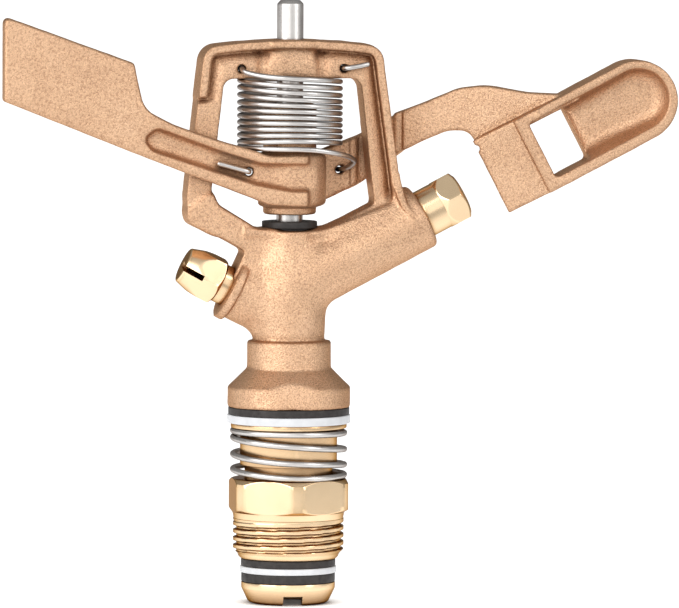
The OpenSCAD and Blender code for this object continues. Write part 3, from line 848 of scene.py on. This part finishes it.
def make_range_nozzle(material):
    start, shank = BARREL_L, 5.75
    hex_start, tip = start + 4.9, start + 10.75
    hex_full, mouth = hex_start + 1.7, tip - 1.5
    af, soft = 11.7, 0.12
    # just past the hexagon's corners
    past = af / math.cos(math.pi / 6) / 2 + 0.02
    rows = [(27.0, 4.6), (27.0, 5.1), (27.4, 5.4), (start - 0.6, 5.4), (start - 0.1, shank - 0.05)]
    rows += [(start + 4.6 * k / 6, shank) for k in range(7)]
    # a cone cuts the hexagon's corners back towards the shank, and another at the mouth
    rows += [(hex_start + 1.7 * k / 16, shank + (past - shank) * k / 16, af, soft) for k in range(17)]
    rows += [(hex_full + (mouth - hex_full) * k / 4, past, af, soft) for k in range(1, 5)]
    rows += [(mouth + 1.35 * k / 14, past - 1.75 * (k / 14) ** 1.6, af, soft) for k in range(1, 15)]
    rows += corner(tip, 4.95, -0.15, 0.05, 0, -0.25)
    rows += [(tip, 2.9), (tip - 0.15, 2.5), (tip - 0.6, 2.2), (tip - 3, 2.2), (29.0, 4.1), (27.4, 4.5)]
    axis = tilted(BARREL_Z, BARREL_TILT, 1)
    piece = turned("range_nozzle_turned", rows, material, axis, columns=144, turn=math.radians(22))
    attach(weighted(piece, 28), "head")
    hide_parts("range_nozzle")


def make_spreader_nozzle(material):
    start, shank = SPREADER_L, 4.7
    hex_start, cone, tip = start + 2.3, 22.2, 28.6
    hex_full, cone_end = hex_start + 0.9, tip - 0.5
    af, soft = 10.4, 0.12
    past = af / math.cos(math.pi / 6) / 2 + 0.02
    slot_angle = math.radians(20)
    rows = [(9.0, 0), (9.0, 3.9), (9.3, 4.15), (start - 0.3, 4.15), (start - 0.1, shank)]
    rows += [(start + 2.2 * k / 4, shank) for k in range(5)]
    rows += [(hex_start + 0.9 * k / 12, shank + (past - shank) * k / 12, af, soft) for k in range(13)]
    rows += [(hex_full + (cone - hex_full) * k / 3, past, af, soft) for k in range(1, 4)]
    reach = cone_end - cone
    rows += [(cone + reach * k / 20, past - 1.62 * (k / 20) ** 1.15, af, soft) for k in range(1, 21)]
    rows += corner(tip, 4.3, -0.5, 0.12, 0, -0.6, 5)
    rows += [(tip, 2.5), (tip, 0)]
    axis = tilted(SPREADER_Z, SPREADER_TILT, -1)
    piece = turned("spreader_nozzle_turned", rows, material, axis, columns=144, turn=slot_angle)
    # the slot runs from the tip's centre down one corner, into a blind bore
    bore = [(tip - 7.5, 0), (tip - 7.5, 2.4), (tip - 1.4, 2.4), (tip - 1.4, 0)]
    subtract(piece, turned("cutter", bore, material, axis))
    points, faces = brick((-0.7, -9, tip - 5.0), (0.7, 0.5, tip + 2))
    aim = axis @ Matrix.Rotation(slot_angle - math.radians(30), 4, "Z")
    subtract(piece, object_from("cutter", [aim @ Vector(p) for p in points], faces, material))
    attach(weighted(piece, 28), "head")
    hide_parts("spreader_nozzle")


def make_pin(material):
    foot, bevel = low("fulcrum_pin"), 0.9
    rows = [(foot, 0), (foot, PIN_R - 0.2), (foot + 0.2, PIN_R)]
    rows += corner(PIN_TOP - bevel, PIN_R, -0.25, 0, 0.2, -0.2)
    rows += corner(PIN_TOP, PIN_R - bevel, -0.15, 0.15, 0, -0.2)
    rows += [(PIN_TOP, 0)]
    piece = weighted(turned("fulcrum_pin_turned", rows, material, columns=64), 30)
    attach(piece, "head")
    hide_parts("fulcrum_pin")


def make_bushing(node, material):
    inner, outer = PIN_R + 0.05, PIN_R + 1.05
    profile = [(low(node), inner), (low(node), outer), (high(node), outer), (high(node), inner)]
    piece = weighted(turned(node + "_turned", rounded_rows(profile, 0.15), material, columns=64), 30)
    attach(piece, "arm")
    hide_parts(node)


# ------------ materials

def new_material(name):
    material = bpy.data.materials.new(name)
    material.use_nodes = True
    tree = material.node_tree
    shader = tree.nodes["Principled BSDF"]
    return material, tree, shader


def node_of(tree, kind, **values):
    """A new shader node, with its sockets or settings filled in."""
    node = tree.nodes.new(kind)
    for key, value in values.items():
        if key in node.inputs:
            node.inputs[key].default_value = value
        else:
            setattr(node, key, value)
    return node


def noise(tree, scale, detail=2.0, rough=0.5, stretch=(1, 1, 1)):
    """Noise in object space; scale is lumps per metre."""
    place = node_of(tree, "ShaderNodeTexCoord")
    mapping = node_of(tree, "ShaderNodeMapping")
    mapping.inputs["Scale"].default_value = stretch
    texture = node_of(tree, "ShaderNodeTexNoise", Scale=scale, Detail=detail, Roughness=rough)
    tree.links.new(place.outputs["Object"], mapping.inputs["Vector"])
    tree.links.new(mapping.outputs["Vector"], texture.inputs["Vector"])
    return texture.outputs["Fac"]


def ramp(tree, source, stops):
    """A colour for each value of source; stops are (value, colour)."""
    node = node_of(tree, "ShaderNodeValToRGB")
    elements = node.color_ramp.elements
    while len(elements) < len(stops):
        elements.new(0.5)
    for element, (position, colour) in zip(elements, stops):
        element.position = position
        element.color = (*colour, 1)
    tree.links.new(source, node.inputs["Fac"])
    return node.outputs["Color"]


def grey_ramp(tree, source, a, va, b, vb):
    return ramp(tree, source, [(a, (va,) * 3), (b, (vb,) * 3)])


def multiply(tree, a, b, share):
    """Colour a darkened by a share of colour b."""
    node = node_of(tree, "ShaderNodeMix", data_type="RGBA", blend_type="MULTIPLY")
    node.inputs[0].default_value = share
    tree.links.new(a, node.inputs[6])
    tree.links.new(b, node.inputs[7])
    return node.outputs[2]


def bump(tree, shader, layers):
    """layers are (height, strength, distance in metres), coarse to fine."""
    normal = None
    for source, strength, distance in layers:
        node = node_of(tree, "ShaderNodeBump", Strength=strength, Distance=distance)
        tree.links.new(source, node.inputs["Height"])
        if normal is not None:
            tree.links.new(normal, node.inputs["Normal"])
        normal = node.outputs["Normal"]
    tree.links.new(normal, shader.inputs["Normal"])


def worn_edges_and_hollow_shade(tree, stops):
    """A tint from the surface's own curvature: painted shade in its hollows and creases, and slightly
    lighter, worn edges.
    """
    geometry = node_of(tree, "ShaderNodeNewGeometry")
    return ramp(tree, geometry.outputs["Pointiness"], stops)


def occlusion_shade(tree, reach, stops):
    """Painted shade: a tint that follows how open the surface is, darker where it is closed in, over a reach
    in millimetres.
    """
    shade = node_of(tree, "ShaderNodeAmbientOcclusion", Distance=reach * MM)
    shade.samples = 6
    return ramp(tree, shade.outputs["AO"], stops)


def cast_bronze():
    """A sand-cast skin: grain and specks over a cloudy base, with painted shade in its corners, grooves and
    hollows.
    """
    material, tree, shader = new_material("cast_bronze")
    cloudy = noise(tree, 110, 3, 0.55)
    grain = noise(tree, 2500, 2, 0.6)
    speck = noise(tree, 4600, 1, 0.5)
    base = ramp(tree, cloudy, [
        (0.3, (0.77, 0.49, 0.315)), (0.5, (0.83, 0.54, 0.35)), (0.7, (0.87, 0.575, 0.38))
    ])
    tint = ramp(tree, grain, [(0.36, (0.64, 0.59, 0.56)), (0.5, (0.90, 0.89, 0.88)), (0.64, (1, 1, 0.97))])
    colour = multiply(tree, base, tint, 0.9)
    tint = ramp(tree, speck, [(0.34, (0.62, 0.58, 0.60)), (0.5, (0.90, 0.89, 0.88)), (0.66, (1, 1, 0.92))])
    colour = multiply(tree, colour, tint, 0.7)
    # painted shade: darker in corners, grooves and under the rims, where nearby parts close the surface in
    crevice_shade = occlusion_shade(tree, 2.2, [(0.32, (0.22, 0.15, 0.11)), (0.64, (0.68, 0.61, 0.55)), (0.93, (1, 1, 1))])
    colour = multiply(tree, colour, crevice_shade, 0.95)
    # painted shade in concave hollows, with slightly lighter worn edges
    edge = worn_edges_and_hollow_shade(tree, [(0.44, (0.62, 0.55, 0.50)), (0.495, (0.94, 0.94, 0.94)), (0.545, (1, 1, 1))])
    colour = multiply(tree, colour, edge, 0.8)
    tree.links.new(colour, shader.inputs["Base Color"])
    tree.links.new(grey_ramp(tree, grain, 0.35, 0.50, 0.65, 0.36), shader.inputs["Roughness"])
    shader.inputs["Metallic"].default_value = 0.92
    shader.inputs["Specular Tint"].default_value = (0.40, 0.30, 0.24, 1)
    bump(tree, shader, [(cloudy, 0.2, 0.0005), (grain, 0.55, 0.00030), (speck, 0.4, 0.00016)])
    return material


def machined_brass():
    """Bright turned brass, with painted shade in its corners and, over a wider reach, where little light gets
    in.
    """
    material, tree, shader = new_material("machined_brass")
    cloudy = noise(tree, 90, 3, 0.5)
    fine = noise(tree, 3000, 2, 0.5, (1, 1, 6))
    base = ramp(tree, cloudy, [(0.35, (0.90, 0.665, 0.415)), (0.65, (0.96, 0.725, 0.465))])
    # painted shade in tight corners and narrow openings
    crevice_shade = occlusion_shade(tree, 1.2, [(0.25, (0.22, 0.14, 0.08)), (0.6, (0.80, 0.72, 0.62)), (0.9, (1, 1, 1))])
    colour = multiply(tree, base, crevice_shade, 0.9)
    # painted shade over a wider reach, where little light gets in
    shaded = occlusion_shade(tree, 5, [(0.35, (0.60, 0.50, 0.42)), (0.8, (1, 1, 1))])
    colour = multiply(tree, colour, shaded, 1.0)
    # painted shade in concave hollows, with slightly lighter worn edges
    edge = worn_edges_and_hollow_shade(tree, [(0.43, (0.70, 0.62, 0.52)), (0.5, (0.96, 0.96, 0.96)), (0.56, (1, 1, 1))])
    tree.links.new(multiply(tree, colour, edge, 0.7), shader.inputs["Base Color"])
    tree.links.new(grey_ramp(tree, fine, 0.3, 0.15, 0.7, 0.24), shader.inputs["Roughness"])
    shader.inputs["Metallic"].default_value = 1.0
    shader.inputs["Specular Tint"].default_value = (0.34, 0.23, 0.15, 1)
    bump(tree, shader, [(fine, 0.12, 0.00005)])
    return material


def stainless():
    material, tree, shader = new_material("stainless")
    drawn = noise(tree, 1800, 2, 0.5)
    cloudy = noise(tree, 200, 2, 0.5)
    base = ramp(tree, cloudy, [(0.35, (0.56, 0.54, 0.525)), (0.65, (0.64, 0.62, 0.60))])
    # painted shade in corners and between close coils
    crevice_shade = occlusion_shade(tree, 1.1, [(0.25, (0.10, 0.08, 0.075)), (0.72, (1, 1, 1))])
    tree.links.new(multiply(tree, base, crevice_shade, 0.85), shader.inputs["Base Color"])
    tree.links.new(grey_ramp(tree, drawn, 0.3, 0.27, 0.7, 0.34), shader.inputs["Roughness"])
    shader.inputs["Metallic"].default_value = 1.0
    shader.inputs["Specular Tint"].default_value = (0.36, 0.32, 0.30, 1)
    bump(tree, shader, [(drawn, 0.05, 0.00002)])
    return material


def black_rubber():
    material, tree, shader = new_material("black_rubber")
    bloom = noise(tree, 700, 3, 0.6)
    base = ramp(tree, bloom, [(0.3, (0.016, 0.013, 0.012)), (0.7, (0.034, 0.029, 0.027))])
    tree.links.new(base, shader.inputs["Base Color"])
    tree.links.new(grey_ramp(tree, bloom, 0.3, 0.62, 0.7, 0.50), shader.inputs["Roughness"])
    shader.inputs["Specular IOR Level"].default_value = 0.35
    bump(tree, shader, [(noise(tree, 2500, 2), 0.2, 0.00008)])
    return material


def ptfe():
    material, tree, shader = new_material("ptfe")
    cloudy = noise(tree, 500, 3, 0.5)
    base = ramp(tree, cloudy, [(0.3, (0.55, 0.56, 0.58)), (0.7, (0.62, 0.63, 0.65))])
    tree.links.new(base, shader.inputs["Base Color"])
    tree.links.new(grey_ramp(tree, cloudy, 0.3, 0.50, 0.7, 0.38), shader.inputs["Roughness"])
    bump(tree, shader, [(noise(tree, 2200, 2), 0.12, 0.00006)])
    return material


# ------------ stage, light and camera

def span(tree, source, from_low, from_high, to_low, to_high):
    """Eases a value from one range into another."""
    limits = {"From Min": from_low, "From Max": from_high, "To Min": to_low, "To Max": to_high}
    node = node_of(tree, "ShaderNodeMapRange", interpolation_type="SMOOTHSTEP", **limits)
    tree.links.new(source, node.inputs["Value"])
    return node.outputs["Result"]


def axes_of(tree, output):
    """The X, Y and Z outputs of one of the texture coordinates."""
    place = node_of(tree, "ShaderNodeTexCoord")
    split = node_of(tree, "ShaderNodeSeparateXYZ")
    tree.links.new(place.outputs[output], split.inputs["Vector"])
    return split.outputs


def make_stage():
    """A pale floor, under the lowest point of the object."""
    floor_z = cad_box[0][2]
    size = 30.0
    mesh = bpy.data.meshes.new("floor")
    corners = [(-size, -size), (size, -size), (size, size), (-size, size)]
    mesh.from_pydata([(x, y, floor_z) for x, y in corners], [], [(0, 1, 2, 3)])
    material, tree, shader = new_material("floor")
    shader.inputs["Base Color"].default_value = (0.66, 0.66, 0.66, 1)
    shader.inputs["Roughness"].default_value = 0.9
    shader.inputs["Specular IOR Level"].default_value = 0.0
    # the floor is lit from within at the back and the left, like a light table
    axes = axes_of(tree, "Object")
    back_left = node_of(tree, "ShaderNodeMath", operation="SUBTRACT")
    tree.links.new(axes["Y"], back_left.inputs[0])
    tree.links.new(axes["X"], back_left.inputs[1])
    glow = span(tree, back_left.outputs[0], -0.45, -0.08, 0, 0.8)
    tree.links.new(glow, shader.inputs["Emission Strength"])
    # but a painted contact shadow holds back its glow under what stands on it
    under = occlusion_shade(tree, 12, [(0.45, (0, 0, 0)), (0.72, (1, 1, 1))])
    tree.links.new(under, shader.inputs["Emission Color"])
    finish_mesh("floor", mesh, material, False)


def make_light():
    """Surroundings that are bright in front, darker overhead and behind, and three tall softboxes."""
    world = bpy.data.worlds.new("studio")
    bpy.context.scene.world = world
    world.use_nodes = True
    tree = world.node_tree
    background = tree.nodes["Background"]
    background.inputs["Color"].default_value = (1.0, 0.995, 0.985, 1)
    axes = axes_of(tree, "Generated")
    front = span(tree, axes["Y"], 0.15, -0.6, 0, 1)
    up = span(tree, axes["Z"], 0.30, 0.85, 1, 0.35)
    both = node_of(tree, "ShaderNodeMath", operation="MULTIPLY")
    tree.links.new(front, both.inputs[0])
    tree.links.new(up, both.inputs[1])
    tree.links.new(span(tree, both.outputs[0], 0, 1, 0.38, 1.25), background.inputs["Strength"])
    aim, tall = Vector((0, 0, 0.1)), 1.3
    for name, place, width, power in (
        ("side_box", (-1.41, -0.75, 0.72), 1.45, 16.0),
        ("left_box", (-0.55, -1.52, 0.72), 0.36, 3.2),
        ("right_box", (1.15, -1.13, 0.72), 0.50, 6.0),
    ):
        data = bpy.data.lights.new(name, "AREA")
        data.shape, data.size, data.size_y, data.energy = "RECTANGLE", width, tall, power
        lamp = bpy.data.objects.new(name, data)
        bpy.context.scene.collection.objects.link(lamp)
        lamp.location = place
        lamp.rotation_euler = (aim - Vector(place)).to_track_quat("-Z", "Y").to_euler()


def make_camera():
    azimuth, pitch, roll = math.radians(-10.0), math.radians(3.9), math.radians(0.26)
    distance = 2.2
    width = 0.1617                  # what the picture takes in at the object, in metres
    aim = Vector((0.0118, -0.0021, 0.0494))
    level = Vector((math.sin(azimuth), -math.cos(azimuth), 0))
    place = aim + level * distance + Vector((0, 0, math.tan(pitch) * distance))
    data = bpy.data.cameras.new("camera")
    camera = bpy.data.objects.new("camera", data)
    bpy.context.scene.collection.objects.link(camera)
    camera.location = place
    look = (aim - place).to_track_quat("-Z", "Y")
    camera.rotation_euler = (look.to_matrix().to_4x4() @ Matrix.Rotation(roll, 4, "Z")).to_euler()
    data.sensor_width = 36.0
    data.lens = data.sensor_width * (aim - place).length / width
    data.clip_start, data.clip_end = 0.05, 60.0
    bpy.context.scene.camera = camera


# ------------ the object

make_camera()
make_stage()
make_light()

bronze, brass, steel, rubber, white = cast_bronze(), machined_brass(), stainless(), black_rubber(), ptfe()

make_body(bronze)
make_arm(bronze)
make_nipple(brass)
make_tube(brass)
make_collar(brass)
make_bearing_spring(steel)
make_arm_spring(steel)
make_range_nozzle(brass)
make_spreader_nozzle(brass)
make_pin(steel)
make_bushing("lower_arm_bushing", steel)
make_bushing("upper_arm_bushing", steel)

round_tube, round_pin = TUBE_R + 0.1, PIN_R + 0.05
for node, body, slot_name, material, outer, inner in (
    ("upper_ptfe_washer", "thrust_collar", "ptfe", white, 14.7, round_tube),
    ("upper_rubber_washer", "head", "black_rubber", rubber, 14.45, round_tube),
    ("lower_rubber_washer", "head", "black_rubber", rubber, 11.28, round_tube),
    ("lower_ptfe_washer", "head", "ptfe", white, 11.54, round_tube),
    ("flange_rubber_washer", "head", "black_rubber", rubber, 11.2, round_tube),
    ("arm_seat_washer", "head", "black_rubber", rubber, 5.7, round_pin),
    ("arm_thrust_washer", "head", "black_rubber", rubber, 6.6, round_pin),
):
    washer(node, body, material, outer, inner)

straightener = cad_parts["stream_straightener"]
straightener.data.materials.clear()
straightener.data.materials.append(brass)

bpy.context.scene.view_settings.view_transform = "Standard"
